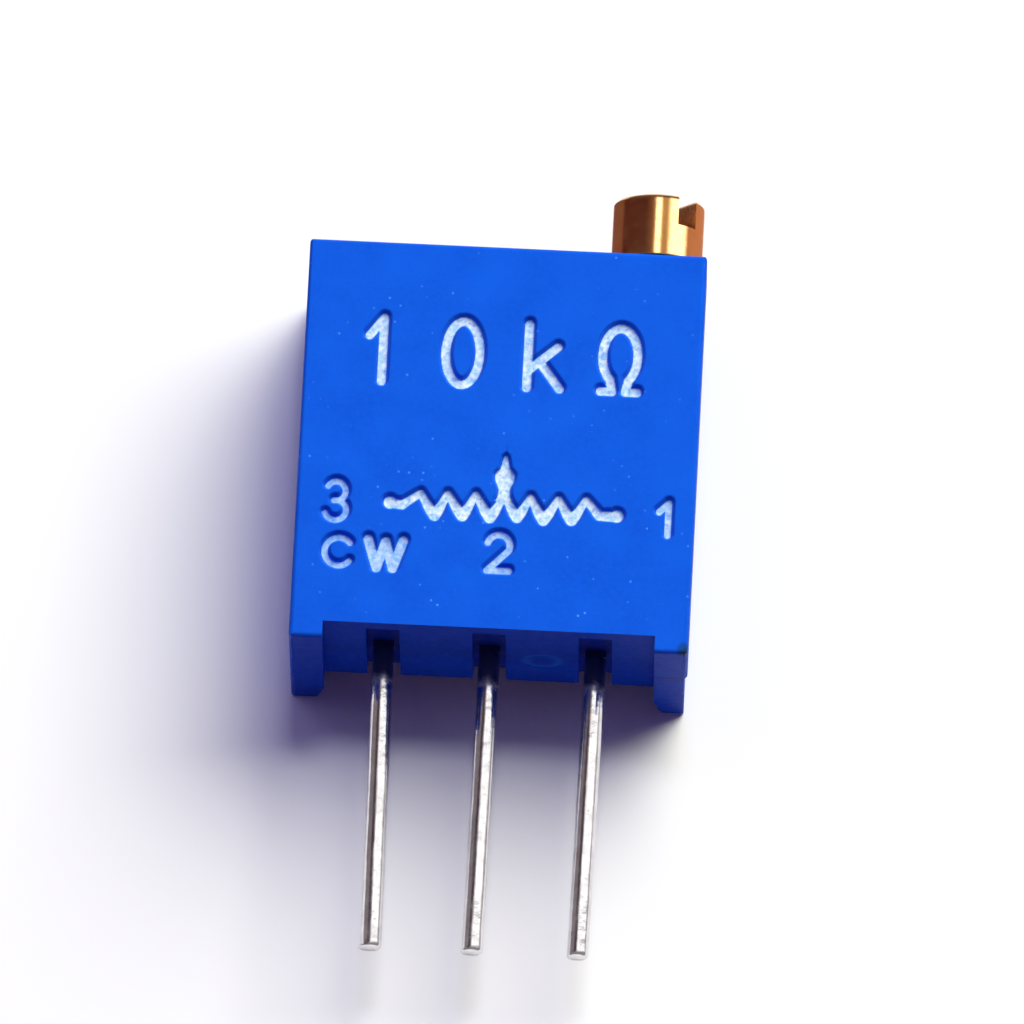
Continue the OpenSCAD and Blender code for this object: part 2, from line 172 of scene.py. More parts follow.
def mottle_group():
    """A noise on object coordinates, counted in cells per mm, mapped between two values."""
    tree = bpy.data.node_groups.new("mottle", "ShaderNodeTree")
    socket(tree, "Cells per mm", "NodeSocketFloat", 1.0)
    socket(tree, "Stretch", "NodeSocketVector", (1.0, 1.0, 1.0))
    socket(tree, "Low", "NodeSocketFloat", 0.0)
    socket(tree, "High", "NodeSocketFloat", 1.0)
    socket(tree, "Value", "NodeSocketFloat", out=True)
    given = tree.nodes.new("NodeGroupInput")
    result = tree.nodes.new("NodeGroupOutput")
    place = tree.nodes.new("ShaderNodeTexCoord")
    stretch = tree.nodes.new("ShaderNodeVectorMath")
    stretch.operation = "MULTIPLY"
    per_mm = tree.nodes.new("ShaderNodeMath")
    per_mm.operation = "MULTIPLY"
    per_mm.inputs[1].default_value = 1 / MM
    noise = tree.nodes.new("ShaderNodeTexNoise")
    noise.inputs["Detail"].default_value = 3
    spread = tree.nodes.new("ShaderNodeMapRange")
    spread.inputs["From Min"].default_value = 0.32
    spread.inputs["From Max"].default_value = 0.68
    link = tree.links.new
    link(place.outputs["Object"], stretch.inputs[0])
    link(given.outputs["Stretch"], stretch.inputs[1])
    link(given.outputs["Cells per mm"], per_mm.inputs[0])
    link(stretch.outputs[0], noise.inputs["Vector"])
    link(per_mm.outputs[0], noise.inputs["Scale"])
    link(noise.outputs["Fac"], spread.inputs["Value"])
    link(given.outputs["Low"], spread.inputs["To Min"])
    link(given.outputs["High"], spread.inputs["To Max"])
    link(spread.outputs["Result"], result.inputs["Value"])
    return tree


MOTTLE = mottle_group()


class Surface:
    """A Principled material with short ways to add the nodes that vary it."""

    def __init__(self, name, roughness, metallic=0.0):
        self.material = bpy.data.materials.new(name)
        self.material.use_nodes = True
        self.nodes = self.material.node_tree.nodes
        self.link = self.material.node_tree.links.new
        self.shader = self.nodes["Principled BSDF"]
        self.shader.inputs["Roughness"].default_value = roughness
        self.shader.inputs["Metallic"].default_value = metallic

    def mottle(self, cells, low=0.0, high=1.0, stretch=(1, 1, 1)):
        """The mottle group, with so many cells to the mm and its values between low and high."""
        node = self.nodes.new("ShaderNodeGroup")
        node.node_tree = MOTTLE
        node.inputs["Cells per mm"].default_value = cells
        node.inputs["Stretch"].default_value = stretch
        node.inputs["Low"].default_value = low
        node.inputs["High"].default_value = high
        return node.outputs["Value"]

    def put(self, value, target):
        """Links an output to a socket, or sets the socket to a plain value."""
        if hasattr(value, "is_output"):
            self.link(value, target)
        else:
            target.default_value = value

    def math(self, operation, a, b=0.0):
        """One step of arithmetic."""
        node = self.nodes.new("ShaderNodeMath")
        node.operation = operation
        self.put(a, node.inputs[0])
        self.put(b, node.inputs[1])
        return node.outputs[0]

    def ramp(self, value, low, high, start=0.0, end=1.0):
        """An S curve from start, where the value is low, to end, where it is high."""
        node = self.nodes.new("ShaderNodeMapRange")
        node.interpolation_type = "SMOOTHSTEP"
        self.put(value, node.inputs["Value"])
        for key, number in zip(("From Min", "From Max", "To Min", "To Max"), (low, high, start, end)):
            node.inputs[key].default_value = number
        return node.outputs["Result"]

    def mix(self, factor, a, b):
        """A colour between a and b."""
        node = self.nodes.new("ShaderNodeMix")
        node.data_type = "RGBA"
        self.put(factor, node.inputs[0])
        for colour, target in ((a, node.inputs[6]), (b, node.inputs[7])):
            self.put((*colour, 1.0) if isinstance(colour, tuple) else colour, target)
        return node.outputs[2]

    def attribute(self, name):
        """A value stored on the points of the mesh."""
        node = self.nodes.new("ShaderNodeAttribute")
        node.attribute_name = name
        return node.outputs["Fac"]

    def place(self):
        """The object coordinates, in metres."""
        node = self.nodes.new("ShaderNodeTexCoord")
        return node.outputs["Object"]

    def axes(self):
        """The object coordinates, one output to an axis."""
        node = self.nodes.new("ShaderNodeSeparateXYZ")
        self.link(self.place(), node.inputs[0])
        return node.outputs

    def near(self, point, low, high):
        """1 within low of a point in mm, falling to 0 at high."""
        node = self.nodes.new("ShaderNodeVectorMath")
        node.operation = "DISTANCE"
        self.link(self.place(), node.inputs[0])
        node.inputs[1].default_value = tuple(MM * value for value in point)
        return self.ramp(node.outputs["Value"], low * MM, high * MM, 1.0, 0.0)

    def specks(self, cells, size):
        """1 in small round dots, about so many to the mm."""
        node = self.nodes.new("ShaderNodeTexVoronoi")
        node.inputs["Scale"].default_value = cells / MM
        self.link(self.place(), node.inputs["Vector"])
        return self.ramp(node.outputs["Distance"], size * 0.5, size, 1.0, 0.0)

    def bump(self, height, depth):
        """Relief from a height between 0 and 1, so many mm deep."""
        node = self.nodes.new("ShaderNodeBump")
        node.inputs["Distance"].default_value = depth * MM
        node.inputs["Strength"].default_value = 1.0
        self.put(height, node.inputs["Height"])
        self.link(node.outputs["Normal"], self.shader.inputs["Normal"])

    def set(self, key, value):
        """Feeds an input of the shader with an output, a colour or a number."""
        self.put((*value, 1.0) if isinstance(value, tuple) else value, self.shader.inputs[key])


def housing_plastic():
    """Blue moulding plastic with silver foil in the marks, pale specks, a nick, the parting line and a
    painted highlight ring round the ejector mark.
    """
    nick_place = (4.68, 0.10, 2.36)
    line_half, line_edge = 0.012 * MM, 0.034 * MM
    s = Surface("housing_plastic", 0.45)
    s.set("Specular IOR Level", 0.08)
    x, y, z = s.axes()
    blue = s.mix(s.mottle(0.8), (0.0040, 0.090, 0.665), (0.0055, 0.110, 0.735))
    blue = s.mix(s.mottle(7, 0.0, 0.4), blue, (0.0055, 0.120, 0.77))
    dots = s.math("MULTIPLY", s.specks(3.1, 0.12), s.mottle(1.7, -0.4, 0.9))
    blue = s.mix(s.math("MAXIMUM", dots, 0.0), blue, (0.10, 0.33, 0.95))
    line = s.ramp(s.math("ABSOLUTE", s.math("SUBTRACT", z, PARTING_Z * MM)), line_half, line_edge, 1.0, 0.0)
    foot_end = s.ramp(y, 0.05 * MM, 0.14 * MM, 1.0, 0.0)
    right_foot = s.ramp(x, 3 * MM, 3.5 * MM)
    line = s.math("MULTIPLY", s.math("MULTIPLY", line, foot_end), right_foot)
    blue = s.mix(s.math("MULTIPLY", line, 0.75), blue, (0.001, 0.006, 0.05))
    # Painted highlight: a lighter ring round the ejector mark, standing in for its edge catching light
    ejector_highlight = s.math("SUBTRACT", s.near(EJECTOR, 0.44, 0.56), s.near(EJECTOR, 0.22, 0.38))
    blue = s.mix(s.math("MULTIPLY", ejector_highlight, 0.6), blue, (0.02, 0.28, 0.98))
    nick = s.math("MULTIPLY", s.near(nick_place, 0.08, 0.25), s.mottle(7, 0.5, 1.0))
    blue = s.mix(nick, blue, (0.012, 0.040, 0.05))
    foil = s.attribute("foil")
    stamped = s.ramp(foil, 0.0, 0.4)
    worn = s.ramp(s.mottle(7), 0.10, 0.3, 0.55, 1.0)
    foil_share = s.math("MULTIPLY", foil, worn)
    silver = s.mix(s.mottle(9), (0.34, 0.64, 0.93), (0.90, 0.98, 1.0))
    s.set("Base Color", s.mix(stamped, blue, s.mix(foil_share, (0.03, 0.28, 0.85), silver)))
    s.set("Metallic", s.math("MULTIPLY", foil_share, 0.08))
    s.set("Roughness", s.mottle(5, 0.40, 0.50))
    s.bump(s.math("ADD", s.mottle(14, 0.0, 0.5), s.mottle(45, 0.0, 0.5)), 0.002)
    return s.material


def turned_brass():
    """Brass with fine turning marks round the screw's axis, and painted shade that darkens the driver slot.
    """
    s = Surface("turned_brass", 0.12, 1.0)
    turning = s.mottle(1.2, 0.0, 1.0, (0.4, 40, 0.4))
    tone = s.mix(s.mottle(2.2), (0.78, 0.46, 0.20), (0.84, 0.54, 0.26))
    tone = s.mix(s.math("MULTIPLY", turning, 0.35), tone, (0.74, 0.40, 0.15))
    # Painted shade: the driver slot is darkened and made rougher, standing in for the shade inside it
    slot_shade = s.math("MULTIPLY", s.attribute("slot"), s.mottle(5, 0.6, 1.0))
    s.set("Base Color", s.mix(slot_shade, tone, (0.26, 0.080, 0.028)))
    s.set("Roughness", s.math("ADD", s.mottle(6, 0.08, 0.17), s.math("MULTIPLY", slot_shade, 0.3)))
    s.bump(s.math("ADD", turning, s.mottle(12, 0.0, 0.6)), 0.0003)
    return s.material


def tinned():
    """Bright tin on drawn wire: long drawing lines and an uneven coat. Towards the body the pins are
    painted dark navy and not metallic, a painted shade and reflection of the body's dark underside."""
    body_shade_end, body_shade_full, body_shade_waver = -0.44 * MM, -0.10 * MM, 0.08 * MM
    s = Surface("tinned_wire", 0.16, 1.0)
    lines = s.mottle(9, 0.0, 1.0, (1, 0.03, 1))
    tin = s.mix(s.mottle(3), (0.66, 0.63, 0.63), (0.82, 0.80, 0.80))
    # Painted shade and reflection: towards the body the pins turn dark navy and stop being metal, standing in
    # for the body's shade and its dark underside seen in the tin
    height = s.math("ADD", s.axes()[1], s.mottle(5, -body_shade_waver, body_shade_waver))
    body_shade = s.ramp(height, body_shade_end, body_shade_full)
    s.set("Base Color", s.mix(body_shade, tin, (0.006, 0.016, 0.110)))
    s.set("Metallic", s.math("SUBTRACT", 1.0, body_shade))
    s.set("Roughness", s.math("ADD", s.mottle(4, 0.10, 0.20, (1, 0.4, 1)), s.math("MULTIPLY", body_shade, 0.3)))
    s.bump(s.math("ADD", lines, s.mottle(5)), 0.002)
    return s.material


def epoxy():
    """Deep blue poured epoxy with a faint cloud in it."""
    s = Surface("epoxy", 0.3)
    s.set("Specular IOR Level", 0.1)
    s.set("Base Color", s.mix(s.mottle(0.9), (0.010, 0.050, 0.40), (0.015, 0.068, 0.50)))
    s.set("Roughness", s.mottle(3, 0.30, 0.45))
    s.bump(s.mottle(2), 0.006)
    return s.material


def plain(name, dark, light, roughness, metallic=0.0):
    """A material whose tone, roughness and surface vary with one noise each."""
    cells, depth = 6.0, 0.002
    s = Surface(name, roughness, metallic)
    s.set("Base Color", s.mix(s.mottle(cells), dark, light))
    s.set("Roughness", s.mottle(cells * 1.7, roughness * 0.85, roughness * 1.15))
    s.bump(s.mottle(cells * 3), depth)
    return s.material


# Marks on the front face

def arc(x, y, rx, ry, start, end, steps):
    """Points on an ellipse from one angle to another, in degrees from +X towards +Y."""
    turn = np.radians(np.linspace(start, end, steps))
    return np.stack([x + rx * np.cos(turn), y + ry * np.sin(turn)], -1)


def path(*points):
    """A line through points."""
    return np.array(points, float)


# The centre lines of each glyph, in a box of 1 by 1
GLYPHS = {
    "0": [arc(0.5, 0.5, 0.5, 0.5, 0, 360, 30)],
    "1": [path((0.12, 0.72), (0.58, 1.0), (0.58, 0.0))],
    "2": [np.concatenate([arc(0.5, 0.70, 0.5, 0.30, 165, -25, 16), path((0.02, 0.0), (1.0, 0.0))])],
    "3": [np.concatenate([arc(0.45, 0.75, 0.45, 0.25, 150, -75, 14), path((0.36, 0.51),)]),
          arc(0.45, 0.26, 0.52, 0.26, 95, -160, 18)],
    "C": [arc(0.55, 0.5, 0.55, 0.5, 40, 320, 24)],
    "W": [path((0.0, 1.0), (0.27, 0.0), (0.5, 0.95), (0.73, 0.0), (1.0, 1.0))],
    "k": [path((0.02, 1.0), (0.02, 0.0)), path((0.88, 0.66), (0.02, 0.27)), path((0.36, 0.42), (0.98, 0.0))],
    "ohm": [np.concatenate([path((0.0, 0.0), (0.32, 0.0)), arc(0.5, 0.56, 0.48, 0.44, 238, -58, 24),
                            path((0.68, 0.0), (1.0, 0.0))])],
}
# The value stands in one row, in one height, stroke and share of foil
VALUE_BOTTOM, VALUE_HEIGHT, VALUE_HALF, VALUE_FOIL = 6.53, 1.60, 0.108, 0.92
VALUE = [("1", -3.30, 0.72), ("0", -1.38, 0.82), ("k", 0.58, 0.82), ("ohm", 2.36, 0.88)]
# Each mark: glyph, left, bottom, width and height of its centre lines, half its stroke, and its share of foil
MARKS = [(glyph, left, VALUE_BOTTOM, width, VALUE_HEIGHT, VALUE_HALF, VALUE_FOIL)
         for glyph, left, width in VALUE]
MARKS += [
    ("3", -4.04, 2.99, 0.50, 0.97, 0.078, 0.48),
    ("C", -4.02, 1.85, 0.62, 0.70, 0.078, 0.52),
    ("W", -2.99, 1.84, 0.84, 0.70, 0.118, 0.64),
    ("2", -0.14, 1.90, 0.54, 0.90, 0.085, 0.56),
    ("1", 3.86, 2.98, 0.48, 0.81, 0.085, 0.72),
]
# The sign of a resistor with a wiper: its centre line, half its stroke, which swells in the troughs, and the
# dots at its ends
RESISTOR = path((-2.52, 3.49), (-2.22, 3.47), (-1.80, 3.75), (-1.44, 3.22), (-1.15, 3.76), (-0.78, 3.24),
                (-0.48, 3.77), (-0.12, 3.22), (0.20, 3.77), (0.53, 3.26), (0.83, 3.76), (1.16, 3.22),
                (1.50, 3.75), (1.83, 3.25), (2.16, 3.76), (2.50, 3.41), (2.91, 3.40))
RESISTOR_HALF, RESISTOR_SWELL, TROUGH, CREST = 0.093, 0.045, 3.28, 3.62
DOT_RADIUS = 0.155
# The wiper's arrow: half its width at heights from its foot to its tip
ARROW_X = 0.19
ARROW_HEIGHTS = (3.66, 3.78, 3.95, 4.02, 4.13, 4.30, 4.36, 4.45, 4.60, 4.76, 4.86)
ARROW_HALVES = (0.20, 0.145, 0.135, 0.16, 0.215, 0.235, 0.21, 0.115, 0.08, 0.05, -0.05)
# The panel that holds them: its fine grid, the bare rows between value and sign, and how deep the strokes are
MARK_STEP, BARE_STEP = 0.025, 0.15
PANEL_LEFT, PANEL_RIGHT = -4.30, 4.36
SIGN_ROWS, BARE_ROWS, VALUE_ROWS = (1.62, 4.95), (5.10, 6.20), (6.32, 8.36)
MARK_DEPTH, MARK_UNEVEN = 0.16, 0.010


def distance(x, y, line):
    """How far each point of a grid is from a line of straight pieces, by the nearest point on each
    piece."""
    best = np.full(x.shape, 99.0)
    for (ax, ay), (bx, by) in zip(line[:-1], line[1:]):
        dx, dy = bx - ax, by - ay
        share = np.clip(((x - ax) * dx + (y - ay) * dy) / (dx * dx + dy * dy + 1e-12), 0, 1)
        best = np.minimum(best, np.hypot(x - ax - share * dx, y - ay - share * dy))
    return best


def sign_distance(x, y):
    """How far each point of the face lies outside the sign: its line, two dots, and the arrow, whose
    edge is a half width over height."""
    best = distance(x, y, RESISTOR) - RESISTOR_HALF - RESISTOR_SWELL * (1 - smooth(y, TROUGH, CREST))
    for centre in (RESISTOR[0], RESISTOR[-1]):
        best = np.minimum(best, np.hypot(x - centre[0], y - centre[1]) - DOT_RADIUS)
    beside = np.abs(x - ARROW_X) - np.interp(y, ARROW_HEIGHTS, ARROW_HALVES)
    middle = (ARROW_HEIGHTS[0] + ARROW_HEIGHTS[-1]) / 2
    above = np.abs(y - middle) - ARROW_HEIGHTS[-1] + middle
    return np.minimum(best, np.maximum(beside, above))


def marks(x, y):
    """How far each point of the face lies outside the nearest stroke, negative inside it, and how much
    foil that stroke holds."""
    best, hold = np.full(x.shape, 9.0), np.ones(x.shape)
    for glyph, left, bottom, width, height, half, share in MARKS:
        for line in GLYPHS[glyph]:
            away = distance(x, y, line * (width, height) + (left, bottom)) - half
            hold = np.where(away < best, share, hold)
            best = np.minimum(best, away)
    sign = sign_distance(x, y)
    return np.minimum(best, sign), np.where(sign < best, 1.0, hold)


def flat_front():
    """The corners of the moulding's flat front, between its rounded edges, from the lower left foot
    round to the right and up."""
    side, foot = HOUSING_HIGH.x - EDGE_ROUND, HOUSING_HIGH.x - WALL
    bottom, top = HOUSING_LOW.y + EDGE_ROUND, HOUSING_HIGH.y - EDGE_ROUND
    corners = [(-side, bottom), (-foot, bottom), (-foot, FOOT_HEIGHT), (foot, FOOT_HEIGHT), (foot, bottom),
               (side, bottom), (side, top), (-side, top)]
    return np.column_stack([corners, np.full(len(corners), FRONT)])


def front_panel():
    """The front face as height over a grid of x and y: flat, and sunk along the strokes with soft
    walls. Four wide faces join the grid to the corners of the moulding's flat front. Gives the patch,
    the foil on its points, and which of them belong to the grid."""
    xs = np.arange(PANEL_LEFT, PANEL_RIGHT, MARK_STEP)
    ys = np.concatenate([np.arange(*SIGN_ROWS, MARK_STEP), np.arange(*BARE_ROWS, BARE_STEP),
                         np.arange(*VALUE_ROWS, MARK_STEP)])
    x, y = np.meshgrid(xs, ys)
    away, hold = marks(x, y)
    sunk = 1 - smooth(away, -0.010, 0.075)
    z = FRONT - MARK_DEPTH * sunk + MARK_UNEVEN * sunk * ripple(x * 3, y * 3, 5)
    grid = np.stack([x, y, z], -1).reshape(-1, 3)
    foil = hold * (1 - smooth(away, -0.020, 0.008))
    rows, columns = x.shape
    number = np.arange(rows * columns).reshape(rows, columns)
    corners = flat_front()
    corner = len(grid) + np.arange(len(corners))
    faces = [grid_faces(rows, columns),
             one_face(corner[:6], number[0, ::-1]),
             one_face(corner[5:7], number[::-1, -1]),
             one_face(corner[6:8], number[-1]),
             one_face(corner[[7, 0]], number[:, 0])]
    foil = np.concatenate([foil.ravel(), np.zeros(len(corners))])
    return (np.concatenate([grid, corners]), faces), foil, np.arange(len(foil)) < len(grid)


def housing(material):
    """The moulding: CAD triangles without its flat front, which the panel with the marks takes the
    place of."""
    triangles = cad_triangles("housing")
    flat = (np.abs(triangles[:, :, 2] - FRONT) < SAME).all(1)
    panel, foil, in_grid = front_panel()
    rest = loose(triangles[~flat])
    none = np.zeros(len(rest[0]))
    return piece("housing_moulding", [panel, rest], "housing", ["housing"], material, 32,
                 {"foil": np.concatenate([foil, none])}, np.concatenate([in_grid, none > 0]))


# Adjusting screw

HEAD_HEIGHT, HEAD_RIM, HEAD_FOOT = 1.53, 0.07, 0.02
SLOT_DEPTH, SLOT_HALF, SLOT_TURN, SLOT_EASE = 0.72, 0.27, math.radians(40), 0.45
HEAD_RADIUS, HEAD_TOP = (SCREW_HIGH.x - SCREW_LOW.x) / 2, SCREW_HIGH.y
HEAD_BOTTOM, SLOT_FLOOR = HEAD_TOP - HEAD_HEIGHT, HEAD_TOP - SLOT_DEPTH
ARC_STEPS, CHORD_STEPS, GAP_STEPS = 49, 14, 7
BEND = np.linspace(0, np.pi / 2, 7)


def rings(turns, radii, heights):
    """Points round the screw's axis: one ring for each radius and height, one point in it for each turn
    from +X towards +Z."""
    radii, heights = np.reshape(radii, (-1, 1)), np.reshape(heights, (-1, 1))
    x, z = SCREW_AXIS
    return np.stack([x + radii * np.cos(turns), heights + 0 * turns, z + radii * np.sin(turns)], -1)


def flat_ring(outer, inner):
    """The flat face between two loops of points that run the same way round, cut in two where they
    start and halfway."""
    out, into = np.arange(len(outer)), len(outer) + np.arange(len(inner))
    half_out, half_in = len(outer) // 2, len(inner) // 2
    first = one_face(out[:half_out + 1], into[half_in::-1])
    second = one_face(out[half_out:], out[:1], into[:1], into[:half_in - 1:-1])
    return np.concatenate([outer, inner]), [first, second]


def slot_half(side):
    """One side of the slotted head: an outline of an arc and its chord carried up, drawn in round the
    rim at the top. Gives its points by level, and its faces."""
    draw = np.concatenate([[0.0, 0.0], HEAD_RIM * (1 - np.cos(BEND))])
    lower = [SLOT_FLOOR, HEAD_TOP - 2 * HEAD_RIM]
    height = np.concatenate([lower, HEAD_TOP - HEAD_RIM + HEAD_RIM * np.sin(BEND)])
    edge, outer = SLOT_HALF + SLOT_EASE * draw, HEAD_RADIUS - draw
    reach = np.arccos(edge / outer)
    turn = reach[:, None] * np.linspace(-1, 1, ARC_STEPS)
    back = np.linspace(1, -1, CHORD_STEPS)[1:-1]
    across = np.concatenate([outer[:, None] * np.cos(turn), edge[:, None] + 0 * back], 1)
    along = np.concatenate([outer[:, None] * np.sin(turn), (outer * np.sin(reach))[:, None] * back], 1)
    x = side * (across * math.cos(SLOT_TURN) + along * math.sin(SLOT_TURN))
    z = side * (along * math.cos(SLOT_TURN) - across * math.sin(SLOT_TURN))
    points = np.stack([SCREW_AXIS[0] + x, height[:, None] + 0 * x, SCREW_AXIS[1] + z], -1)
    levels, count = x.shape
    cap = np.arange(count)[None, ::-1] + (levels - 1) * count
    return points, [grid_faces(levels, count, True)[:, ::-1], cap]


def shank_end(triangles, start):
    """The loop of points where the shank meets the head, in order of their turn from a start."""
    points = triangles.reshape(-1, 3)
    points = np.unique(np.round(points[np.abs(points[:, 1] - HEAD_BOTTOM) < 1e-3], 5), axis=0)
    turn = np.arctan2(points[:, 2] - SCREW_AXIS[1], points[:, 0] - SCREW_AXIS[0]) - start
    return points[np.argsort(turn % (2 * np.pi))]


def screw(material):
    """The screw: shank and worm from the CAD triangles, and a head of rings below the slot and two
    halves beside it. The slot's walls and floor are marked for painted shade, strongest at its floor."""
    triangles = cad_triangles("adjusting_screw")
    below = triangles[triangles[:, :, 1].mean(1) < HEAD_BOTTOM - 1e-3]
    reach = math.acos(SLOT_HALF / HEAD_RADIUS)
    sweep, gap = np.linspace(-reach, reach, ARC_STEPS), np.linspace(reach, np.pi - reach, GAP_STEPS)
    turns = np.concatenate([sweep, gap[1:-1], sweep + np.pi, gap[1:-1] + np.pi]) - SLOT_TURN
    radii = np.concatenate([HEAD_RADIUS - HEAD_FOOT * (1 - np.sin(BEND)), [HEAD_RADIUS, HEAD_RADIUS]])
    heights = np.concatenate([HEAD_BOTTOM + HEAD_FOOT * (1 - np.cos(BEND)),
                              [HEAD_BOTTOM + 2 * HEAD_FOOT, SLOT_FLOOR]])
    barrel = rings(turns, radii, heights)
    halves = [slot_half(side) for side in (1, -1)]
    ends = [rings(gap + side - SLOT_TURN, HEAD_RADIUS, SLOT_FLOOR)[0] for side in (0, np.pi)]
    chords = [points[0, :ARC_STEPS - 1:-1] for points, _ in halves]
    slot_floor = np.concatenate([ends[0], chords[1], ends[1], chords[0]])[::-1]
    patches = [loose(below), flat_ring(barrel[0], shank_end(below, turns[0])),
               (barrel.reshape(-1, 3), [grid_faces(len(radii), len(turns), True)[:, ::-1]]),
               (slot_floor, [one_face(np.arange(len(slot_floor)))])]
    patches += [(points.reshape(-1, 3), faces) for points, faces in halves]
    points = np.concatenate([points for points, _ in patches])
    height = points[:, 1]
    out = np.hypot(points[:, 0] - SCREW_AXIS[0], points[:, 2] - SCREW_AXIS[1])
    in_slot = (height > SLOT_FLOOR - 0.001) & (height < HEAD_TOP - 0.03) & (out < HEAD_RADIUS - 0.02)
    # Painted shade in the slot: full at its floor, three quarters of that at its top
    slot_shade = in_slot * (1 - 0.25 * (height - SLOT_FLOOR) / SLOT_DEPTH)
    return piece("screw_head_and_worm", patches, "screw", ["adjusting_screw"], material, 40,
                 {"slot": slot_shade})


# Pins

TAIL_START, TAIL_HALF, TAIL_THICK = 0.53, 0.25, 0.40
PIN_STEPS, PIN_RINGS = 40, 110
PIN_COAT, LEAN_START = 0.0035, 0.4
# The cropped end: how far above the tip, and how much smaller in radius
TIP_RISE = np.array([0, 0.012, 0.03, 0.05, 0.08])
TIP_DRAW = np.array([0.040, 0.023, 0.010, 0.003, 0])
# Each pin: number, how far its tip leans to +X, and its burr
PINS = ((1, -0.07, 0.02), (2, -0.05, 0.04), (3, 0.075, 0.07))


def pin(number, lean, burr, material):
    """A tinned pin: a radius over height and turn, with an uneven coat, that ends in a squared tail.
    Its free end leans a little to the side and was cropped, which left a burr towards -X."""
    low, high = box_mm(f"pin_{number}")
    x, radius, tip = (low.x + high.x) / 2, (high.x - low.x) / 2, low.y
    height = np.concatenate([tip + TIP_RISE, np.linspace(tip + 0.14, TAIL_START - 0.01, PIN_RINGS)])
    size = np.concatenate([radius - TIP_DRAW, np.full(PIN_RINGS, radius)])
    turn = np.linspace(0, 2 * np.pi, PIN_STEPS, endpoint=False)
    level, angle = np.meshgrid(height, turn, indexing="ij")
    coat = ripple(level * 0.55, np.cos(angle - 0.7) * 0.4, 20 + number)
    coat = coat + 0.6 * ripple(level * 1.7, np.sin(angle) * 0.5, 40 + number)
    fade = smooth(level, tip + 0.05, tip + 0.3) * (1 - smooth(level, 0.1, LEAN_START))
    grown = size[:, None] + PIN_COAT * fade * coat
    grown = grown + burr * (1 - smooth(level, tip + 0.01, tip + 0.09)) * np.clip(-np.sin(angle), 0, 1)
    shift = lean * np.clip((LEAN_START - level) / (LEAN_START - tip), 0, 1)
    wire = np.stack([x + shift + grown * np.sin(angle), level, grown * np.cos(angle)], -1)
    corner, step = PIN_STEPS * np.array([-1, 1, 3, 5, 7, 9]) / 8, np.arange(PIN_STEPS)
    tail_x = x + TAIL_HALF * np.interp(step, corner, [-1, 1, 1, -1, -1, 1])
    tail_z = low.z + TAIL_THICK * np.interp(step, corner, [1, 1, 0, 0, 1, 1])
    tail = [np.column_stack([tail_x, np.full(PIN_STEPS, y), tail_z]) for y in (TAIL_START, high.y)]
    points = np.concatenate([wire, tail])
    last = (len(points) - 1) * PIN_STEPS
    faces = [grid_faces(len(points), PIN_STEPS, True), one_face(step[::-1]), one_face(step + last)]
    return piece(f"tinned_pin_{number}", [(points.reshape(-1, 3), faces)], "housing",
                 [f"pin_{number}"], material, 40)


# Sealing compound

CLIMB, CLIMB_WIDTH, CLOUD = 0.16, 0.14, 0.02
# Grid lines crowd towards the walls over this width, and run evenly between
CROWD = 0.5 * np.linspace(0, 1, 12) ** 1.6
EVEN_X, EVEN_Y, EVEN_STEPS = (-3.4, 3.4), (1.8, 8.6), 60


def compound(material):
    """The poured epoxy: CAD triangles, with its open back as height over a grid that climbs the walls a
    little, by an exponential of the distance to the nearest wall. Flat faces join the edges of the grid
    to the CAD's edge, and close the back of the three slots."""
    low, high = box_mm("sealing_compound")
    level, side, top, bottom = low.z, high.x, high.y, CAVITY_BOTTOM
    triangles = cad_triangles("sealing_compound")
    back = (np.abs(triangles[:, :, 2] - level) < SAME).all(1)
    xs = np.concatenate([CROWD - side, np.linspace(*EVEN_X, EVEN_STEPS), (side - CROWD)[::-1]])
    ys = np.concatenate([bottom + CROWD, np.linspace(*EVEN_Y, EVEN_STEPS), (top - CROWD)[::-1]])
    x, y = np.meshgrid(xs, ys)
    wall = np.minimum(side - np.abs(x), np.minimum(y - bottom, top - y))
    z = level - CLIMB * np.exp(-wall / CLIMB_WIDTH)
    z = z + CLOUD * ripple(x * 0.12, y * 0.12, 8) * smooth(wall, 0.0, 0.5)
    flare = RIM_FLARE / (level - BACK)
    flared = x + np.sign(x) * flare * CLIMB * np.exp((np.abs(x) - side) / CLIMB_WIDTH)
    grid = np.stack([flared, y, z], -1).reshape(-1, 3)
    rows, columns = x.shape
    number = np.arange(rows * columns).reshape(rows, columns)
    slots = [centre + half for centre in (-PIN_PITCH, 0, PIN_PITCH)
             for half in (-PIN_SLOT_WIDTH / 2, PIN_SLOT_WIDTH / 2)]
    edge = [(-side, top), (side, top), (side, bottom)] + [(place, bottom) for place in slots[::-1]]
    edge += [(-side, bottom)] + [(place, low.y) for place in slots]
    edge = np.column_stack([edge, np.full(len(edge), level)])
    mark = len(grid) + np.arange(len(edge))
    tabs = [mark[[8 - start, 7 - start, 11 + start, 10 + start]] for start in (0, 2, 4)]
    faces = [grid_faces(rows, columns)[:, ::-1],
             one_face(number[0], mark[2:10]),
             one_face(number[:, -1], mark[1:3]),
             one_face(number[-1, ::-1], mark[0:2]),
             one_face(number[::-1, 0], mark[[9, 0]]),
             np.array(tabs)]
    patches = [(np.concatenate([grid, edge]), faces), loose(triangles[~back])]
    return piece("poured_compound", patches, "housing", ["sealing_compound"], material)


housing(housing_plastic())
screw(turned_brass())
tin = tinned()
for pin_number, pin_lean, pin_burr in PINS:
    pin(pin_number, pin_lean, pin_burr, tin)
compound(epoxy())

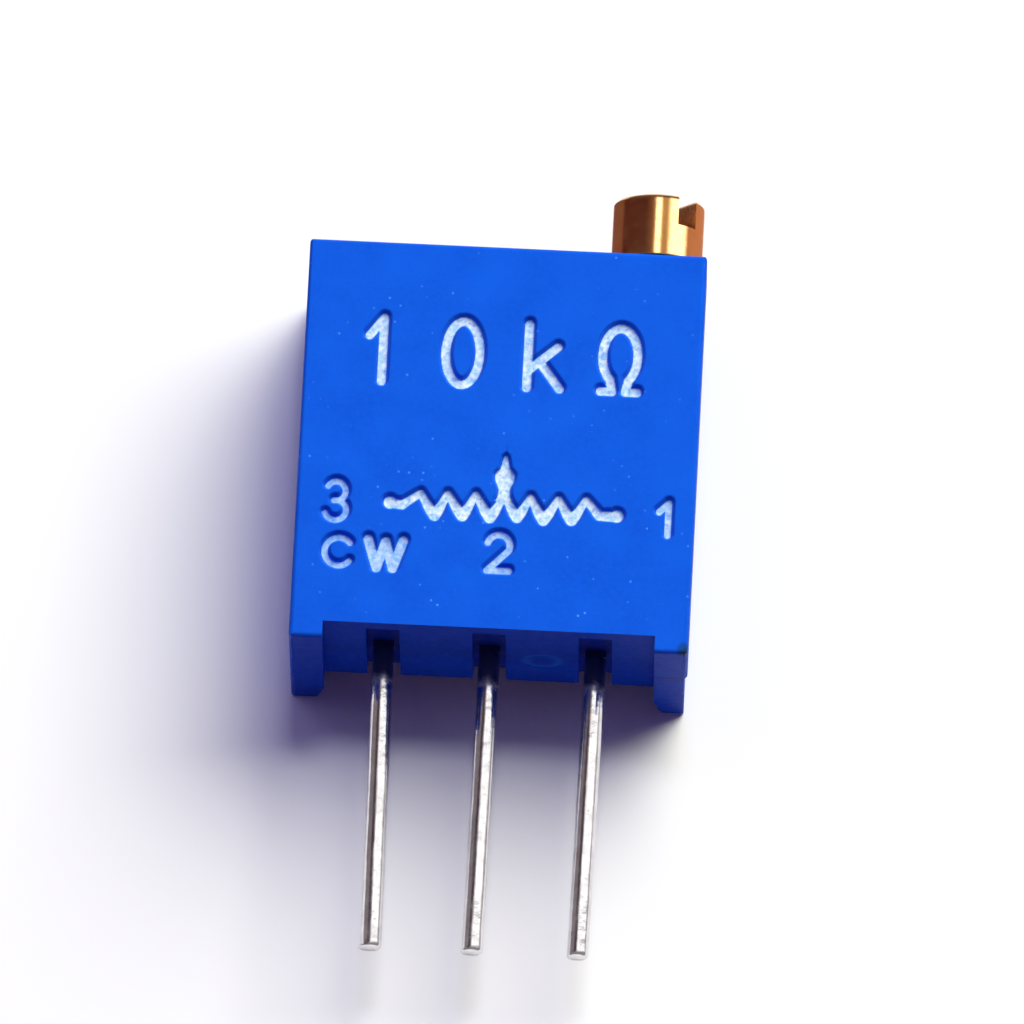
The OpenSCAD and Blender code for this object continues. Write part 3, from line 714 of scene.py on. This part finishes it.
# The inner nodes keep their CAD meshes
FINISHES = {
    "shaft_seal": plain("seal_rubber", (0.012, 0.012, 0.013), (0.025, 0.025, 0.026), 0.7),
    "screw_retainer": plain("dowel_steel", (0.42, 0.43, 0.45), (0.58, 0.59, 0.60), 0.3, 1.0),
    "worm_wheel": plain("wheel_plastic", (0.70, 0.66, 0.56), (0.80, 0.77, 0.68), 0.5),
    "wiper": plain("wiper_metal", (0.72, 0.50, 0.22), (0.85, 0.64, 0.33), 0.25, 1.0),
    "ceramic_plate": plain("plate_ceramic", (0.78, 0.78, 0.76), (0.88, 0.88, 0.86), 0.6),
    "resistive_track": plain("track_ink", (0.012, 0.012, 0.012), (0.035, 0.034, 0.033), 0.55),
    "collector": plain("printed_silver", (0.60, 0.59, 0.57), (0.75, 0.74, 0.72), 0.4, 0.8),
    "solder_1": plain("solder_tin", (0.55, 0.56, 0.57), (0.72, 0.73, 0.74), 0.28, 1.0),
}
for node in ("end_conductor_1", "end_conductor_3"):
    FINISHES[node] = FINISHES["collector"]
for node in ("solder_2", "solder_3"):
    FINISHES[node] = FINISHES["solder_1"]
for node, finish in FINISHES.items():
    node_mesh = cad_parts[node].data
    node_mesh.materials.clear()
    node_mesh.materials.append(finish)


# Studio

CAMERA_TURN, CAMERA_RISE, CAMERA_ROLL = math.radians(3.382), math.radians(71.86), math.radians(-0.564)
CAMERA_AIM, CAMERA_AWAY = Vector((0.359, 4.135, 0)), 500
FOCAL_PIXELS, IMAGE_PIXELS, SENSOR_WIDTH = 20836.0, 1024, 36
STUDIO_Y = 4
FLOOR_HALF = 500


def stage_object(name, mesh, material):
    """A mesh that belongs to the studio and not to the part."""
    mesh.materials.append(material)
    made = bpy.data.objects.new(name, mesh)
    bpy.context.scene.collection.objects.link(made)
    return made


def seen_colour(tree, colour):
    """The first colour as light on the object, and the second for rays from the camera, from glossy
    surfaces and through clear ones."""
    rays = tree.nodes.new("ShaderNodeLightPath")
    both = tree.nodes.new("ShaderNodeMath")
    both.operation = "MAXIMUM"
    every = tree.nodes.new("ShaderNodeMath")
    every.operation = "MAXIMUM"
    mixed = tree.nodes.new("ShaderNodeMix")
    mixed.data_type = "RGBA"
    mixed.inputs[6].default_value = (*colour[0], 1)
    mixed.inputs[7].default_value = (*colour[1], 1)
    tree.links.new(rays.outputs["Is Camera Ray"], both.inputs[0])
    tree.links.new(rays.outputs["Is Glossy Ray"], both.inputs[1])
    tree.links.new(both.outputs[0], every.inputs[0])
    tree.links.new(rays.outputs["Is Transmission Ray"], every.inputs[1])
    tree.links.new(every.outputs[0], mixed.inputs[0])
    return mixed.outputs[2]


def floor_sheet():
    """A pale matt floor under the part. The light that it throws back on the part is dim and violet."""
    material = bpy.data.materials.new("floor_paper")
    material.use_nodes = True
    tree = material.node_tree
    shader = tree.nodes["Principled BSDF"]
    shader.inputs["Roughness"].default_value = 1.0
    shader.inputs["Specular IOR Level"].default_value = 0.0
    colour = seen_colour(tree, ((0.25, 0.19, 0.43), (0.97, 0.97, 0.97)))
    tree.links.new(colour, shader.inputs["Base Color"])
    corners = np.array([(-1, -1, 0), (1, -1, 0), (1, 1, 0), (-1, 1, 0)]) * FLOOR_HALF + (0, STUDIO_Y, BACK)
    mesh = bpy.data.meshes.new("floor")
    mesh.from_pydata((corners * MM).tolist(), [], [(0, 1, 2, 3)])
    stage_object("floor", mesh, material)


def glow_material():
    """Cards show their own colour, from the attribute on their points, whatever light falls on them."""
    material = bpy.data.materials.new("card_glow")
    material.use_nodes = True
    tree = material.node_tree
    shader = tree.nodes["Principled BSDF"]
    shader.inputs["Base Color"].default_value = (0, 0, 0, 1)
    shader.inputs["Specular IOR Level"].default_value = 0.0
    shader.inputs["Emission Strength"].default_value = 1.0
    glow = tree.nodes.new("ShaderNodeAttribute")
    glow.attribute_name = "glow"
    tree.links.new(glow.outputs["Color"], shader.inputs["Emission Color"])
    return material


GLOW = glow_material()


def card(name, points, colours):
    """A strip of paired points, each pair with its colour. Only metal and gloss reflect it."""
    mesh = bpy.data.meshes.new(name)
    mesh.from_pydata((points.reshape(-1, 3) * MM).tolist(), [], grid_faces(len(points), 2).tolist())
    shades = np.column_stack([np.repeat(colours, 2, 0), np.ones(len(points) * 2)])
    glow = mesh.attributes.new("glow", "FLOAT_COLOR", "POINT")
    glow.data.foreach_set("color", shades.astype(np.float32).ravel())
    made = stage_object(name, mesh, GLOW)
    for ray in ("camera", "diffuse", "transmission", "volume_scatter", "shadow"):
        setattr(made, f"visible_{ray}", False)


def run(stops, at):
    """Colours at places along a line of stops, each a place and a colour, straight between them."""
    places = [place for place, _ in stops]
    return np.stack([np.interp(at, places, channel) for channel in zip(*(colour for _, colour in stops))], -1)


def tube_card(name, x, span, stops):
    """A tube round an axis along Y, its colour running with the angle from straight up towards +X. Its
    span in Y sets which part of the object reflects it."""
    radius = 60
    even = np.linspace(stops[0][0], stops[-1][0], 40)
    angles = np.unique(np.concatenate([[angle for angle, _ in stops], even]))
    turn, along = np.meshgrid(np.radians(angles), span, indexing="ij")
    points = np.stack([x + radius * np.sin(turn), along, radius * np.cos(turn)], -1)
    card(name, points, run(stops, angles))


def floor_card(name, stops):
    """A strip just above the floor that slants away from the screw's head, as the camera's reflected
    rays do, wider the further it goes. Its colour runs along X."""
    lift, near_half, widening = 0.02, 1.5, 0.15
    places = np.array([place for place, _ in stops])
    far = np.abs(places - SCREW_AXIS[0])
    middle = HEAD_TOP - HEAD_HEIGHT / 2 + far / math.tan(CAMERA_RISE)
    half = near_half + widening * far
    height = np.full(len(places), BACK + lift)
    points = [np.column_stack([places, middle + side * half, height]) for side in (-1, 1)]
    card(name, np.stack(points, 1), run(stops, places))


floor_sheet()

# What the pins reflect, then the screw, and then the shades between and beyond, by their span in Y
PIN_SPAN, SCREW_SPAN, REACH = (9.0, 20.5), (26.5, 36.0), (-80.0, 120.0)
FAINT, DUSK, PALE = (0.24, 0.21, 0.22), (0.08, 0.05, 0.07), (0.5, 0.47, 0.48)
BRIGHT, DULL = (1.6, 1.6, 1.6), (0.45, 0.42, 0.43)
DARK, BROWN, TAN = (0.095, 0.030, 0.032), (0.24, 0.13, 0.10), (0.6, 0.42, 0.30)
WHITE, GOLD, AMBER, RUST = (3.4, 3.4, 3.4), (0.66, 0.48, 0.27), (0.66, 0.34, 0.24), (0.24, 0.115, 0.10)
SHADES = (
    ("low", (REACH[0], PIN_SPAN[0]), (0.28, 0.27, 0.28)),
    ("middle", (PIN_SPAN[1], SCREW_SPAN[0]), (0.06, 0.045, 0.05)),
    ("high", (SCREW_SPAN[1], REACH[1]), (0.14, 0.12, 0.12)),
)
tube_card("pin_card", 0.0, PIN_SPAN, [
    (-100, FAINT), (-50, FAINT), (-38, DUSK), (-20, DUSK), (-12, PALE), (0, BRIGHT), (68, BRIGHT), (82, DULL),
    (100, DULL)])
tube_card("screw_card", SCREW_AXIS[0], SCREW_SPAN, [
    (-92, DARK), (-30, DARK), (-14, BROWN), (-8, TAN), (-5, WHITE), (4, WHITE), (10, GOLD), (22, GOLD),
    (34, WHITE), (66, WHITE), (80, AMBER), (92, AMBER)])
for shade_name, shade_span, shade in SHADES:
    tube_card(f"{shade_name}_shade_card", 0.0, shade_span, [(-100, shade), (100, shade)])
floor_card("left_floor_card", [(-60, DARK), (-36, DARK), (-16, RUST), (1, RUST)])
floor_card("right_floor_card", [(6, AMBER), (66, AMBER)])

world = bpy.data.worlds.new("studio")
bpy.context.scene.world = world
world.use_nodes = True
backdrop = world.node_tree.nodes["Background"]
sky = seen_colour(world.node_tree, ((0.036, 0.016, 0.080), (1, 1, 1)))
world.node_tree.links.new(sky, backdrop.inputs["Color"])


def lamp(name, direction, width, height, colour):
    """A soft box in a direction from the part, square to it. Its colour is the light that it gives, as
    a share of a plain level, whatever its distance."""
    away = 900
    light = bpy.data.lights.new(name, "AREA")
    light.shape = "RECTANGLE"
    light.size = width * MM
    light.size_y = height * MM
    light.energy = math.pi ** 2 * (away * MM) ** 2
    light.color = colour
    made = bpy.data.objects.new(name, light)
    bpy.context.scene.collection.objects.link(made)
    towards = Vector(direction).normalized()
    across = Vector((0, 1, 0)).cross(towards).normalized()
    place = Matrix((across, towards.cross(across), towards)).transposed().to_4x4()
    place.translation = Vector((0, STUDIO_Y * MM, 0)) + towards * away * MM
    made.matrix_world = place
    made.visible_glossy = False


lamp("key", (0.58, 0.84, 1.0), 690, 690, (1.465, 1.475, 1.285))
lamp("fill", (-0.60, 0.50, 1.0), 700, 700, (0.095, 0.095, 0.180))
lamp("top", (0.02, 0.315, 1.0), 114, 114, (0.120, 0.120, 0.150))


def photo_camera():
    """The camera that was fitted to the photograph: turn, rise, roll, distance and focal length."""
    flat = math.cos(CAMERA_RISE)
    back = Vector((math.sin(CAMERA_TURN) * flat, -math.cos(CAMERA_TURN) * flat, math.sin(CAMERA_RISE)))
    right = Vector((0, 0, 1)).cross(back).normalized()
    up = back.cross(right)
    tilted_right = right * math.cos(CAMERA_ROLL) + up * math.sin(CAMERA_ROLL)
    tilted_up = up * math.cos(CAMERA_ROLL) - right * math.sin(CAMERA_ROLL)
    data = bpy.data.cameras.new("photo_camera")
    data.sensor_width = SENSOR_WIDTH
    data.lens = FOCAL_PIXELS * SENSOR_WIDTH / IMAGE_PIXELS
    data.clip_start = 0.01
    data.clip_end = 20
    camera = bpy.data.objects.new("photo_camera", data)
    bpy.context.scene.collection.objects.link(camera)
    place = Matrix((tilted_right, tilted_up, back)).transposed().to_4x4()
    place.translation = (CAMERA_AIM + back * CAMERA_AWAY) * MM
    camera.matrix_world = place
    bpy.context.scene.camera = camera


photo_camera()
bpy.context.scene.view_settings.view_transform = "Standard"
